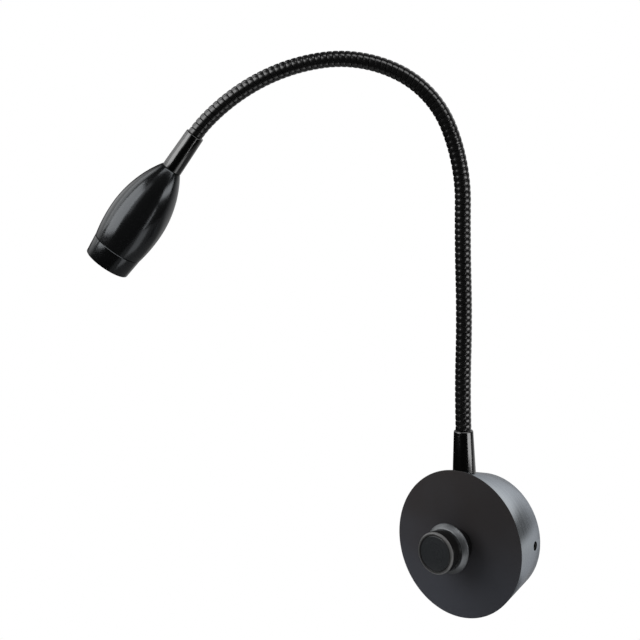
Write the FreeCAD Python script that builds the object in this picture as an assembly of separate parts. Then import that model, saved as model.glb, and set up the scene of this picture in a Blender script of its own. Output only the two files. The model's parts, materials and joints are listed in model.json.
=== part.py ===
"""Bedside wall reading lamp: a tapered round base with a dimmer knob, a flexible ribbed arm and a spot head.

Millimetres, +Z up. The origin is the centre of the wall plate's back face, which lies on the wall in the plane y = 0.
The lamp stands out from the wall towards -Y.
"""
import FreeCAD
import Part
import math
import os

V = FreeCAD.Vector

# ---- Driving dimensions -------------------------------------------------------------------------------------------

# General
fit = 0.05  # radial play of pieces that push or screw together
loose = 0.2  # radial play of clearance holes

# Base cover
base_depth = 28.0  # from the wall to the front face
front_diameter = 80.0
back_diameter = 65.5  # at the wall
cover_wall = 2.0
front_wall = 2.5
front_edge_radius = 0.5
wall_gap = 0.4  # between the cover's rim and the wall

# Wall plate
plate_thickness = 1.6
plate_play = 0.5  # between the plate's edge and the cover
mount_spacing = 42.0
mount_hole = 4.5
tab_thickness = 2.0
tab_width = 10.0
tab_reach = 10.5  # from the plate's front
tab_inset = 0.6  # from the plate's edge
side_screw = 4.0
side_screw_out = 8.0  # from the wall
side_screw_hole = 5.0  # in the cover
side_screw_recess = 0.8
side_screw_overrun = 0.8  # past the tab's inner face

# Cable entry
cable_hole_height = 2.0  # above the centre
cable_bore = 7.0
grommet_wall = 1.6
grommet_flange = 1.9
grommet_flange_thickness = 1.2

# Terminal block
terminal_width = 22.0
terminal_height = 12.0
terminal_depth = 11.0
terminal_gap = 1.4  # above the grommet's flange
pole_count = 3
pole_pitch = 6.6
pole_screw = 3.2
pole_screw_length = 4.0
pole_screw_recess = 0.6
pole_wire_hole = 2.6
pole_wire_out = 3.4  # from the block's back

# Earth screw
earth_place = (-19.0, 14.0)  # across, up
earth_thread = 4.0
earth_head = 7.2
earth_head_height = 2.2
earth_washer = 8.6
earth_washer_thickness = 0.7

# LED driver
driver_width = 34.0
driver_height = 17.0
driver_depth = 13.0
driver_gap = 1.5  # below the grommet's flange
driver_wall = 1.2
driver_lid = 1.4
driver_lip = 1.0
board_thickness = 1.2
board_post = 2.0
board_post_diameter = 2.4
board_play = 0.4
transformer = (11.0, 9.6, 5.6)  # across, up, out
capacitor_diameter = 5.6
capacitor_length = 5.4
choke_diameter = 4.0
choke_length = 4.4

# Dimmer
dimmer_diameter = 16.8
dimmer_length = 9.0
dimmer_pin = (1.0, 4.0, 0.5)  # across, down, out
dimmer_pin_pitch = 5.0
dimmer_pin_out = 2.0  # from the dimmer's back
bushing_diameter = 7.0
bushing_length = 7.0
shaft_diameter = 6.0
shaft_socket = 4.0  # depth of the shaft in the dimmer
shaft_flat = 1.5  # depth of the D flat
shaft_flat_start = 0.4  # past the bushing's end
washer_diameter = 12.0
washer_thickness = 0.5
nut_flats = 10.0
nut_thickness = 2.2

# Knob, measured from the cover's front face
knob_gap = 0.8
skirt_start = 9.4
knob_length = 21.1
hub_diameter = 18.0
hub_hollow_diameter = 13.6
hub_hollow_end = 5.0
skirt_diameter = 27.2
skirt_front_diameter = 22.8
skirt_seat_diameter = 20.4
skirt_band = 0.7
skirt_thickness = 3.2
knob_diameter = 22.6
knob_chamfer = 0.7
knob_rim = 1.1  # flat ring round the cap
cap_recess = 1.2
cap_thickness = 1.0
cap_dish = 0.35
cap_chamfer = 0.25
shaft_cover = 4.8  # knob material in front of the shaft
shaft_end_play = 0.3
knob_screw_size = 3.0
knob_screw_out = 6.6  # from the cover's front face
knob_screw_recess = 0.6

# Small hexagon sockets and slots
grub_socket_flats = 2.0
grub_socket_depth = 1.6
slot_width = 0.6
slot_depth = 0.8

# Lower ferrule and its fixing
arm_setback = 6.0  # arm axis behind the front face
ferrule_top = 60.5  # height of the lower ferrule's mouth above the centre
ferrule_foot_diameter = 13.0
ferrule_mouth_diameter = 10.2
ferrule_shoulder = 0.8
seat_play = 0.05  # between the ferrule and the cover
nipple_diameter = 8.0
nipple_bore = 5.0
nipple_tail = 1.0  # nipple end past the boss
boss_width = 12.6
boss_back = 9.0  # from the arm's axis towards the wall
boss_low = 28.5  # height of the boss's underside above the centre
boss_screw = 3.0
boss_screw_height = 32.0  # above the centre
boss_screw_recess = 0.4
ferrule_web = 1.8  # solid between the thread and the hose socket

# Flexible arm
arm_heading = 58.0  # degrees that the arm turns from straight out towards -X
hose_length = 317.8
hose_bends = (-2.6, 3.0, -2.0, 21.7, 42.9, 33.5, 25.3, -2.6)  # degrees in each eighth, bottom to top
end_bend = 24.0  # degrees, besides, just before the upper ferrule
end_bend_length = 9.0
hose_crest = 8.5
hose_root = 7.4
hose_bore = 4.6
hose_tuck = 7.2  # diameter of the plain ends inside the ferrules
hose_tuck_length = 9.5
ribs_per_piece = 13
rib_rise = 0.22  # shares of the pitch
rib_flat = 0.62
rib_fall = 0.84
ball_diameter = 10.0
ball_play = 0.3
lead_diameter = 3.0
lead_gap = 0.4  # between its end and the end of what it lies in

# Upper ferrule
upper_ferrule_length = 22.0
upper_ferrule_mouth = 10.1
upper_ferrule_foot = 10.9
head_offset = 0.3  # the head sits this far off the ferrule's axis, towards the outside of the bend

# Head, measured along its axis from the neck
head_neck_diameter = 10.9
head_diameter = 31.0
head_widest = 34.0
head_seam = 51.2
head_seam_diameter = 27.4
head_length = 62.0
head_mouth_diameter = 25.2
seam_gap = 0.15
seam_chamfer = 0.3
head_cavity_diameter = 23.6
head_cavity_start = 7.0
head_cavity_start_diameter = 14.4
head_cavity_full = 21.0
bezel_spigot_length = 5.0
bezel_wall = 0.7
bezel_lip_bore = 19.4
bezel_lip_flare = 22.6
bezel_end_radius = 0.4
lens_recess = 3.2
lens_flange_diameter = 21.6
lens_flange_thickness = 1.5
lens_diameter = 19.0
lens_small_diameter = 9.0
lens_pocket_diameter = 6.2
lens_pocket_depth = 3.0
lens_end_gap = 0.8
lens_crown = 0.3
seal_thickness = 0.9
seal_inset = 0.2  # of the seal's two edges from the lens flange and the lip
holder_wall = 0.8
sink_start = 36.0
sink_thickness = 5.0
sink_wire_hole = 4.6
led_board_diameter = 17.6
led_board_thickness = 1.2
led_chip_side = 5.0
led_chip_height = 0.8
led_dome_diameter = 3.6
head_nut_flats = 11.0
head_nut_thickness = 2.6
head_nipple_tail = 0.9
head_lead_diameter = 2.6

# Lead in the base: across, up, out from the wall; it then turns up the arm's axis
base_lead_points = ((14.0, -8.0, 9.0), (14.0, 6.0, 16.5))
base_lead_rise = 20.0  # height above the centre where it turns up the arm's axis

# ---- Sizes worked out from them -----------------------------------------------------------------------------------

front_inside = base_depth - front_wall
arm_out = base_depth - arm_setback
piece_count = len(hose_bends)
piece_length = hose_length / piece_count
rib_pitch = piece_length / ribs_per_piece
plate_radius = back_diameter / 2 - cover_wall - plate_play
tab_outer = plate_radius - tab_inset
grommet_radius = cable_bore / 2 + grommet_wall
flange_radius = grommet_radius + grommet_flange
terminal_low = cable_hole_height + flange_radius + terminal_gap
driver_top = cable_hole_height - flange_radius - driver_gap
driver_centre = driver_top - driver_height / 2


def cover_radius(out):
    """Outer radius of the cover at a distance from the wall."""
    return (back_diameter + (front_diameter - back_diameter) * out / base_depth) / 2


# ---- Shapes -------------------------------------------------------------------------------------------------------


def turned(start, *steps):
    """Solid turned about Z from (radius, height) points; a step that holds two points is an arc."""
    edges = []
    here = V(start[0], 0, start[1])
    for step in steps + (start,):
        points = [V(r, 0, z) for r, z in (step if isinstance(step[0], tuple) else (step,))]
        if len(points) == 2:
            edges.append(Part.Arc(here, *points).toShape())
        elif (points[0] - here).Length > 1e-6:
            edges.append(Part.LineSegment(here, points[0]).toShape())
        here = points[-1]
    return Part.Face(Part.Wire(edges)).revolve(V(), V(0, 0, 1), 360)


def rod(diameter, low, high, at=(0, 0)):
    return Part.makeCylinder(diameter / 2, high - low, V(at[0], at[1], low))


def tube(outer, inner, low, high, at=(0, 0)):
    return rod(outer, low, high, at).cut(rod(inner, low, high, at))


def block(across, up, low, high, at=(0, 0)):
    return Part.makeBox(across, up, high - low, V(at[0] - across / 2, at[1] - up / 2, low))


def hexagon(flats, low, high):
    corners = [V(flats / math.sqrt(3), 0, low)]
    turn = FreeCAD.Rotation(V(0, 0, 1), 60)
    for _ in range(6):
        corners.append(turn.multVec(corners[-1]))
    return Part.Face(Part.makePolygon(corners)).extrude(V(0, 0, high - low))


def hex_nut(flats, bore, low, high):
    """Hexagon nut with its corners eased at both faces."""
    ease = (flats / math.sqrt(3) - flats / 2) * 0.9
    corner = flats / math.sqrt(3)
    lift = ease * 0.6
    easing = turned((0, low), (corner - ease, low), (corner, low + lift), (corner, high - lift), (corner - ease, high),
                    (0, high))
    return hexagon(flats, low, high).common(easing).cut(rod(bore, low, high))


def grub_screw(diameter, low, high):
    """Headless screw with a pointed inner end and a hexagon socket in its outer end."""
    ease = diameter * 0.12
    body = turned((0, low), (diameter / 2 - 2 * ease, low), (diameter / 2, low + 2 * ease),
                  (diameter / 2, high - ease), (diameter / 2 - ease, high), (0, high))
    return body.cut(hexagon(grub_socket_flats, high - grub_socket_depth, high))


def moved(shape, base, axis=None):
    """The shape with its Z axis along axis and its origin at base."""
    copy = shape.copy()
    turn = FreeCAD.Rotation(V(0, 0, 1), axis) if axis else FreeCAD.Rotation()
    copy.Placement = FreeCAD.Placement(base, turn).multiply(copy.Placement)
    return copy


def on_wall(shape):
    """From wall coordinates (across, up, out) to the lamp's frame."""
    copy = shape.copy()
    copy.Placement = FreeCAD.Placement(V(), FreeCAD.Rotation(V(1, 0, 0), 90)).multiply(copy.Placement)
    return copy


def at_arm_foot(shape):
    """From heights on the lower ferrule's axis to the lamp's frame."""
    return moved(shape, V(0, -arm_out, 0))


def soft_run(points, diameter):
    """Round lead along straight runs joined by tangent arcs, each as large as its two runs allow."""
    points = [V(*p) for p in points]
    edges, here = [], points[0]
    for before, corner, after in zip(points, points[1:], points[2:]):
        back, ahead = (before - corner).normalize(), (after - corner).normalize()
        half_turn = (math.pi - back.getAngle(ahead)) / 2
        reach = 0.45 * min(before.distanceToPoint(corner), after.distanceToPoint(corner))
        radius = reach / math.tan(half_turn)
        start, end = corner + back * reach, corner + ahead * reach
        inward = (back + ahead).normalize()
        middle = corner + inward * (radius / math.cos(half_turn) - radius)
        edges += [Part.LineSegment(here, start).toShape(), Part.Arc(start, middle, end).toShape()]
        here = end
        print(f"lead bend radius {radius:.1f} mm")
    edges.append(Part.LineSegment(here, points[-1]).toShape())
    path = Part.Wire(edges)
    section = moved(Part.Wire([Part.makeCircle(diameter / 2)]), points[0], points[1] - points[0])
    run = path.makePipeShell([section], True, True)
    print(f"lead volume {run.Volume:.1f}, section times length {math.pi * diameter ** 2 / 4 * path.Length:.1f} mm3")
    return run


# ---- The arm's path -----------------------------------------------------------------------------------------------

heading = math.radians(arm_heading)
arm_forward = V(-math.sin(heading), -math.cos(heading), 0)
arm_side = V(0, 0, 1).cross(arm_forward)  # square to the plane that the arm lies in at rest
arm_start = V(0, -arm_out, ferrule_top)


def arm_bends():
    """(length, turn in radians) of the path's stretches; each end is straight for one hose diameter."""
    straight = hose_crest
    stretches = [(straight, 0.0), (piece_length - straight, hose_bends[0])]
    stretches += [(piece_length, bend) for bend in hose_bends[1:-1]]
    stretches += [(piece_length - end_bend_length - straight, hose_bends[-1]), (end_bend_length, end_bend)]
    return [(length, math.radians(bend)) for length, bend in stretches + [(straight, 0.0)]]


def arm_place(along):
    """Point and direction of the arm's centreline at a length from the lower ferrule's mouth."""
    point, angle, left = arm_start, 0.0, along
    for index, (length, turn) in enumerate(arm_bends()):
        final = index == len(arm_bends()) - 1
        step = left if final or left < length else length
        turned_by = turn * step / length
        chord = step if abs(turned_by) < 1e-9 else 2 * step / turned_by * math.sin(turned_by / 2)
        middle = angle + turned_by / 2
        point = point + (arm_forward * math.sin(middle) + V(0, 0, math.cos(middle))) * chord
        angle += turned_by
        left -= step
        if left <= 0:
            break
    return point, arm_forward * math.sin(angle) + V(0, 0, math.cos(angle))


def arm_ring(along, diameter):
    """Circle square to the arm, on a steady X axis."""
    point, direction = arm_place(along)
    turn = FreeCAD.Rotation(arm_side, direction.cross(arm_side), direction, "ZXY")
    ring = Part.Wire([Part.makeCircle(diameter / 2)])
    ring.Placement = FreeCAD.Placement(point, turn)
    return ring


def along_arm(rings):
    """Solid through rings given as (length along the arm, diameter)."""
    return Part.makeLoft([arm_ring(*ring) for ring in rings], True, True)


def ribbed(start, ribs):
    """Rings of a run of ribs, four to a rib."""
    rings = []
    for rib in range(ribs):
        foot = start + rib * rib_pitch
        rings += [(foot, hose_root), (foot + rib_rise * rib_pitch, hose_crest),
                  (foot + rib_flat * rib_pitch, hose_crest), (foot + rib_fall * rib_pitch, hose_root)]
    return rings + [(start + ribs * rib_pitch, hose_root)]


def plain(start, end, diameter):
    """Rings of a smooth run."""
    count = max(1, math.ceil((end - start) / rib_pitch))
    return [(start + (end - start) * n / count, diameter) for n in range(count + 1)]


def hose_piece(number):
    """One eighth of the arm: its upper end is a ball about the bend's centre, its lower end the cup round a ball."""
    start, end = number * piece_length, (number + 1) * piece_length
    first, last = number == 0, number == piece_count - 1
    past_ball = 0 if last else math.ceil(ball_diameter / 2 / rib_pitch) + 1
    ribs = along_arm(ribbed(start, ribs_per_piece + past_ball))
    low = start - (hose_tuck_length if first else 0)
    high = end + (hose_tuck_length if last else past_ball * rib_pitch)
    if first:
        ribs = ribs.fuse(along_arm([(low, hose_tuck), (start, hose_tuck)]))
    if last:
        ribs = ribs.fuse(along_arm([(end, hose_tuck), (high, hose_tuck)]))
    piece = ribs.cut(along_arm(plain(low - fit, high + fit, hose_bore)))
    if not first:
        point, _ = arm_place(start)
        piece = piece.cut(Part.makeSphere(ball_diameter / 2 + ball_play, point))
    if not last:
        point, direction = arm_place(end)
        beyond = rod(ball_diameter * 2, 0, ball_diameter * 2)
        ball = Part.makeSphere(ball_diameter / 2)
        piece = piece.cut(moved(beyond.cut(ball), point, direction))
    return piece


def lead_piece(number):
    """The lead inside one eighth of the arm, from the cup at its lower end to the tip of the ball at its upper end."""
    first, last = number == 0, number == piece_count - 1
    low = number * piece_length + (lead_gap - hose_tuck_length if first else ball_diameter / 2 + ball_play)
    high = (number + 1) * piece_length + (hose_tuck_length if last else ball_diameter / 2) - lead_gap
    return along_arm(plain(low, high, lead_diameter))


# ---- Base ---------------------------------------------------------------------------------------------------------


def cover_solid(inset, low, high):
    """Solid cone of the cover's taper, drawn in by inset."""
    return turned((0, low), (cover_radius(low) - inset, low), (cover_radius(high) - inset, high), (0, high))


def at_boss(shape):
    """From lengths towards the wall, square to the arm's axis, to the lamp's frame."""
    return moved(shape, V(0, -arm_out, boss_screw_height), V(0, 1, 0))


def cover():
    edge = front_edge_radius
    diagonal = edge * (1 - math.sqrt(0.5))
    shell = turned(
        (cover_radius(wall_gap) - cover_wall, wall_gap),
        (cover_radius(wall_gap), wall_gap),
        (cover_radius(base_depth - edge), base_depth - edge),
        ((front_diameter / 2 - diagonal, base_depth - diagonal), (front_diameter / 2 - edge, base_depth)),
        (0, base_depth),
        (0, front_inside),
        (cover_radius(front_inside) - cover_wall, front_inside),
    )
    shell = shell.cut(rod(bushing_diameter + 2 * fit, front_inside, base_depth))
    boss_height = front_diameter / 2 - boss_low
    boss = block(boss_width, boss_height, arm_out - boss_back, base_depth, (0, boss_low + boss_height / 2))
    boss = boss.common(cover_solid(cover_wall / 2, 0, base_depth - front_wall / 2))
    shell = on_wall(shell.fuse(boss).removeSplitter())
    shell = shell.cut(at_arm_foot(rod(nipple_diameter + 2 * fit, 0, front_diameter)))
    shell = shell.cut(at_boss(rod(boss_screw + 2 * fit, 0, boss_back)))
    side_hole = rod(side_screw_hole, plate_radius, front_diameter)
    for side in (-1, 1):
        shell = shell.cut(moved(side_hole, V(0, -side_screw_out, 0), V(side, 0, 0)))
    return shell


def wall_plate():
    plate = rod(2 * plate_radius, 0, plate_thickness)
    for side in (-1, 1):
        middle = side * (tab_outer - tab_thickness / 2)
        plate = plate.fuse(block(tab_thickness, tab_width, 0, plate_thickness + tab_reach, (middle, 0)))
        plate = plate.cut(rod(mount_hole, 0, plate_thickness, (side * mount_spacing / 2, 0)))
    plate = plate.cut(rod(2 * (grommet_radius + fit), 0, plate_thickness, (0, cable_hole_height)))
    plate = plate.cut(rod(earth_thread + 2 * fit, 0, plate_thickness, earth_place))
    plate = on_wall(plate.removeSplitter())
    for side in (-1, 1):
        thread = moved(rod(side_screw + 2 * fit, 0, front_diameter), V(0, -side_screw_out, 0), V(side, 0, 0))
        plate = plate.cut(thread)
    return plate


def cover_screws():
    outer = cover_radius(side_screw_out) - side_screw_recess
    inner = tab_outer - tab_thickness - side_screw_overrun
    screw = grub_screw(side_screw, inner, outer)
    return Part.makeCompound([moved(screw, V(0, -side_screw_out, 0), V(side, 0, 0)) for side in (-1, 1)])


def cable_grommet():
    front = plate_thickness + grommet_flange_thickness
    ring = turned((cable_bore / 2, 0), (grommet_radius, 0), (grommet_radius, plate_thickness),
                  (flange_radius, plate_thickness), (flange_radius, front - 0.4), (flange_radius - 0.4, front),
                  (cable_bore / 2, front))
    return on_wall(moved(ring, V(0, cable_hole_height, 0)))


def pole_places():
    return [(n - (pole_count - 1) / 2) * pole_pitch for n in range(pole_count)]


def terminal_block():
    centre = terminal_low + terminal_height / 2
    front = plate_thickness + terminal_depth
    body = block(terminal_width, terminal_height, plate_thickness, front, (0, centre))
    for across in pole_places():
        screw_hole = rod(pole_screw + 2 * fit, front - pole_screw_length - pole_screw_recess, front, (across, centre))
        wire_hole = moved(rod(pole_wire_hole, 0, terminal_height),
                          V(across, terminal_low, plate_thickness + pole_wire_out), V(0, 1, 0))
        body = body.cut(screw_hole).cut(wire_hole)
    for between in [(a + b) / 2 for a, b in zip(pole_places(), pole_places()[1:])]:
        body = body.cut(block(slot_width, terminal_height, front - slot_depth, front, (between, centre)))
    return on_wall(body)


def terminal_screws():
    centre = terminal_low + terminal_height / 2
    top = plate_thickness + terminal_depth - pole_screw_recess
    screws = []
    for across in pole_places():
        screw = rod(pole_screw, top - pole_screw_length, top, (across, centre))
        screws.append(on_wall(screw.cut(block(pole_screw, slot_width, top - slot_depth, top, (across, centre)))))
    return Part.makeCompound(screws)


def earth_screw():
    seat = plate_thickness + earth_washer_thickness
    top = seat + earth_head_height
    ease = 0.5
    screw = turned((0, 0), (earth_thread / 2, 0), (earth_thread / 2, plate_thickness),
                   (earth_washer / 2, plate_thickness), (earth_washer / 2, seat), (earth_head / 2, seat),
                   (earth_head / 2, top - ease), (earth_head / 2 - ease, top), (0, top))
    for width, height in ((earth_head * 0.6, slot_width), (slot_width, earth_head * 0.6)):
        screw = screw.cut(block(width, height, top - 2 * slot_depth, top))
    return on_wall(moved(screw, V(*earth_place, 0)))


driver_rim = plate_thickness + driver_depth - driver_lid  # where the lid sits
board_low = plate_thickness + driver_wall + board_post
board_high = board_low + board_thickness
board_width = driver_width - 2 * (driver_wall + board_play)
board_height = driver_height - 2 * (driver_wall + board_play)


def driver_case():
    centre = (0, driver_centre)
    inside = (driver_width - 2 * driver_wall, driver_height - 2 * driver_wall)
    tray = block(driver_width, driver_height, plate_thickness, driver_rim, centre)
    tray = tray.cut(block(*inside, plate_thickness + driver_wall, driver_rim, centre))
    for across in (-1, 1):
        for up in (-1, 1):
            place = (across * (board_width / 2 - board_post_diameter),
                     driver_centre + up * (board_height / 2 - board_post_diameter))
            tray = tray.fuse(rod(board_post_diameter, plate_thickness, board_low, place))
    lead_hole = moved(rod(lead_diameter + 2 * loose, -2 * driver_wall, 2 * driver_wall), lead_exit(), lead_aim())
    return on_wall(tray.removeSplitter().cut(lead_hole))


def driver_cover():
    lid = block(driver_width, driver_height, driver_rim, driver_rim + driver_lid, (0, driver_centre))
    lip_outer = (driver_width - 2 * (driver_wall + fit), driver_height - 2 * (driver_wall + fit))
    lip_inner = (lip_outer[0] - 2 * driver_wall, lip_outer[1] - 2 * driver_wall)
    lip = block(*lip_outer, driver_rim - driver_lip, driver_rim, (0, driver_centre))
    lip = lip.cut(block(*lip_inner, driver_rim - driver_lip, driver_rim, (0, driver_centre)))
    lead_hole = moved(rod(lead_diameter + 2 * loose, -3 * driver_wall, 2 * driver_wall), lead_exit(), lead_aim())
    return on_wall(lid.fuse(lip).removeSplitter().cut(lead_hole))


def driver_parts():
    left = -board_width / 4
    right = board_width / 4
    pieces = [
        block(transformer[0], transformer[1], board_high, board_high + transformer[2], (left, driver_centre)),
        rod(capacitor_diameter, board_high, board_high + capacitor_length, (right - 3.2, driver_centre - 2.6)),
        rod(choke_diameter, board_high, board_high + choke_length, (right + 3.4, driver_centre - 2.6)),
    ]
    return Part.makeCompound([on_wall(p) for p in pieces])


def lead_exit():
    """Where the base lead crosses the top wall of the driver case."""
    start, aim = V(*base_lead_points[0]), lead_aim()
    return start + aim * ((driver_top - driver_wall / 2 - start.y) / aim.y)


def lead_aim():
    return (V(*base_lead_points[1]) - V(*base_lead_points[0])).normalize()


def dimmer_body():
    back = front_inside - dimmer_length
    can = rod(dimmer_diameter, back, front_inside)
    for n in (-1, 0, 1):
        low = back + dimmer_pin_out
        across, down, out = dimmer_pin
        reach = down + dimmer_diameter / 2
        can = can.fuse(block(across, reach, low, low + out, (n * dimmer_pin_pitch, -reach / 2)))
    return on_wall(can.cut(rod(shaft_diameter + 2 * fit, front_inside - shaft_socket, front_inside)).removeSplitter())


def dimmer_bushing():
    return on_wall(tube(bushing_diameter, shaft_diameter + 2 * fit, front_inside, front_inside + bushing_length))


def dimmer_washer():
    return on_wall(tube(washer_diameter, bushing_diameter + 2 * fit, base_depth, base_depth + washer_thickness))


def dimmer_nut():
    low = base_depth + washer_thickness
    return on_wall(hex_nut(nut_flats, bushing_diameter + 2 * fit, low, low + nut_thickness))


# ---- Knob ---------------------------------------------------------------------------------------------------------

knob_face = base_depth + knob_length
cap_seat = knob_face - cap_recess
shaft_end = knob_face - shaft_cover
cap_radius = knob_diameter / 2 - knob_chamfer - knob_rim
flat_from = front_inside + bushing_length + shaft_flat_start


def flat_cut(play, low, high):
    """What the D flat takes off the underside of the shaft."""
    top = shaft_flat - shaft_diameter / 2 - play
    return block(2 * shaft_diameter, shaft_diameter, low, high, (0, top - shaft_diameter / 2))


def dimmer_shaft():
    shaft = rod(shaft_diameter, front_inside - shaft_socket + fit, shaft_end)
    return on_wall(shaft.cut(flat_cut(0, flat_from, shaft_end)))


def knob_body():
    back = base_depth + knob_gap
    skirt_low = base_depth + skirt_start
    skirt_high = skirt_low + skirt_thickness
    radius = knob_diameter / 2
    body = turned(
        (0, back), (hub_diameter / 2, back), (hub_diameter / 2, skirt_low), (skirt_seat_diameter / 2, skirt_low),
        (skirt_seat_diameter / 2, skirt_high), (radius, skirt_high), (radius, knob_face - knob_chamfer),
        (radius - knob_chamfer, knob_face), (cap_radius, knob_face), (cap_radius, cap_seat), (0, cap_seat),
    )
    bore_end = shaft_end + shaft_end_play
    bore = rod(shaft_diameter + 2 * fit, back, bore_end).cut(flat_cut(fit, flat_from, bore_end))
    body = body.cut(bore).cut(rod(hub_hollow_diameter, back, base_depth + hub_hollow_end))
    screw_hole = moved(rod(knob_screw_size + 2 * fit, 0, hub_diameter), V(0, 0, base_depth + knob_screw_out),
                       V(0, -1, 0))
    return on_wall(body.cut(screw_hole))


def knob_skirt():
    low = base_depth + skirt_start
    return on_wall(turned(
        (skirt_seat_diameter / 2 + fit, low), (skirt_diameter / 2, low), (skirt_diameter / 2, low + skirt_band),
        (skirt_front_diameter / 2, low + skirt_thickness), (skirt_seat_diameter / 2 + fit, low + skirt_thickness),
    ))


def knob_cap():
    radius = cap_radius - fit
    top = cap_seat + cap_thickness
    dish_radius = radius - cap_chamfer
    sphere = (dish_radius ** 2 + cap_dish ** 2) / (2 * cap_dish)
    half = dish_radius / 2
    half_height = top - cap_dish + sphere - math.sqrt(sphere ** 2 - half ** 2)
    return on_wall(turned((0, cap_seat), (radius, cap_seat), (radius, top - cap_chamfer), (dish_radius, top),
                          ((half, half_height), (0, top - cap_dish))))


def knob_screw():
    inner = shaft_diameter / 2 - shaft_flat + fit
    screw = grub_screw(knob_screw_size, inner, hub_diameter / 2 - knob_screw_recess)
    return on_wall(moved(screw, V(0, 0, base_depth + knob_screw_out), V(0, -1, 0)))


# ---- Ferrules and their fixings -----------------------------------------------------------------------------------

socket_low = ferrule_top - hose_tuck_length - lead_gap
thread_top = socket_low - ferrule_web


def lower_ferrule():
    shoulder_z = ferrule_top - ferrule_shoulder
    mouth = ferrule_mouth_diameter / 2
    diagonal = ferrule_shoulder * (1 - math.sqrt(0.5)) / 2
    foot = boss_low + ferrule_shoulder
    outline = turned(
        (0, foot), (ferrule_foot_diameter / 2, foot), (mouth, shoulder_z),
        ((mouth - diagonal, ferrule_top - 2 * diagonal), (mouth - ferrule_shoulder / 2, ferrule_top)),
        (0, ferrule_top),
    )
    outline = outline.cut(rod(hose_tuck + 2 * fit, socket_low, ferrule_top))
    outline = outline.cut(rod(nipple_bore, thread_top, socket_low))
    outline = outline.cut(rod(nipple_diameter + 2 * fit, foot, thread_top))
    return at_arm_foot(outline).cut(on_wall(cover_solid(-seat_play, 0, base_depth + arm_setback)))


def nipple():
    return at_arm_foot(tube(nipple_diameter, nipple_bore, boss_low - nipple_tail, thread_top - fit))


def nipple_screw():
    return at_boss(grub_screw(boss_screw, nipple_diameter / 2 + fit, boss_back - boss_screw_recess))


arm_end, head_axis = arm_place(hose_length)
head_outward = head_axis.cross(arm_side)
head_start = arm_end + head_axis * upper_ferrule_length + head_outward * head_offset


def on_ferrule(shape):
    """From lengths along the upper ferrule to the lamp's frame."""
    return moved(shape, arm_end, head_axis)


def on_head(shape):
    """From lengths along the head to the lamp's frame."""
    return moved(shape, head_start, head_axis)


upper_socket = hose_tuck_length + lead_gap
upper_thread = upper_socket + ferrule_web
head_nut_low = upper_ferrule_length + head_cavity_start
head_nipple_end = head_nut_low + head_nut_thickness + head_nipple_tail


def upper_ferrule():
    mouth = upper_ferrule_mouth / 2
    ease = ferrule_shoulder / 2
    body = turned((0, 0), (mouth - ease, 0), (mouth, ease), (upper_ferrule_foot / 2, upper_ferrule_length),
                  (0, upper_ferrule_length))
    body = body.cut(rod(hose_tuck + 2 * fit, 0, upper_socket)).cut(rod(nipple_bore, upper_socket, upper_thread))
    return on_ferrule(body.cut(rod(nipple_diameter + 2 * fit, upper_thread, upper_ferrule_length)))


def head_nipple():
    return on_ferrule(tube(nipple_diameter, nipple_bore, upper_thread + fit, head_nipple_end))


def head_nut():
    return on_ferrule(hex_nut(head_nut_flats, nipple_diameter + 2 * fit, head_nut_low,
                              head_nut_low + head_nut_thickness))


def head_lead():
    return on_ferrule(rod(head_lead_diameter, upper_socket + lead_gap,
                          upper_ferrule_length + sink_start + sink_thickness - fit))


# ---- Head ---------------------------------------------------------------------------------------------------------


def arc_radius(run, rise):
    """Radius of an arc that starts level and rises by rise over run."""
    return (run ** 2 + rise ** 2) / (2 * rise)


def level_arc(run, rise, at):
    """How far an arc that starts level has risen at a distance."""
    radius = arc_radius(run, rise)
    return radius - math.sqrt(radius ** 2 - at ** 2)


widest = head_diameter / 2
seam_radius = head_seam_diameter / 2
neck_radius = head_neck_diameter / 2
spigot_radius = head_cavity_diameter / 2 - 2 * fit
lens_front = head_length - lens_recess
flange_low = lens_front - lens_flange_thickness
led_low = sink_start + sink_thickness
chip_low = led_low + led_board_thickness
lens_low = chip_low + lens_end_gap


def head_shell():
    rise = widest - neck_radius
    fall = widest - seam_radius
    half_back = head_widest / 2
    half_front = (head_seam - head_widest) / 2
    cavity = head_cavity_diameter / 2
    shell = turned(
        (0, 0), (neck_radius, 0),
        ((widest - level_arc(head_widest, rise, half_back), half_back), (widest, head_widest)),
        ((widest - level_arc(2 * half_front, fall, half_front), head_widest + half_front), (seam_radius, head_seam)),
        (seam_radius - seam_chamfer, head_seam + seam_chamfer * 0.5),
        (cavity, head_seam + seam_chamfer * 0.5), (cavity, head_cavity_full),
        (head_cavity_start_diameter / 2, head_cavity_start), (0, head_cavity_start),
    )
    thread = rod(nipple_diameter + 2 * fit, upper_ferrule_length, head_nut_low)
    return on_head(shell).cut(on_ferrule(thread))


def bezel():
    low = head_seam + seam_chamfer * 0.5 + seam_gap
    spigot = spigot_radius
    inner = spigot - bezel_wall
    mouth = head_mouth_diameter / 2
    lip_low = lens_front + seal_thickness
    taper = (seam_radius - mouth) / (head_length - head_seam)
    end = bezel_end_radius
    diagonal = end * (1 - math.sqrt(0.5))
    return on_head(turned(
        (inner, low - bezel_spigot_length), (spigot, low - bezel_spigot_length), (spigot, low),
        (seam_radius - seam_chamfer, low), (seam_radius - taper * (low + seam_chamfer - head_seam), low + seam_chamfer),
        (mouth + taper * end, head_length - end),
        ((mouth - diagonal, head_length - diagonal), (mouth - end, head_length)),
        (bezel_lip_flare / 2, head_length), (bezel_lip_bore / 2, lip_low + 0.3), (bezel_lip_bore / 2, lip_low),
        (inner, lip_low),
    ))


def lens_seal():
    outer = lens_flange_diameter / 2
    inner = bezel_lip_bore / 2
    low, high = lens_front, lens_front + seal_thickness
    middle = (low + high) / 2
    return on_head(turned((inner + seal_inset, low), (outer - seal_inset, low), (outer, middle),
                          (outer - seal_inset, high), (inner + seal_inset, high), (inner, middle)))


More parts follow.
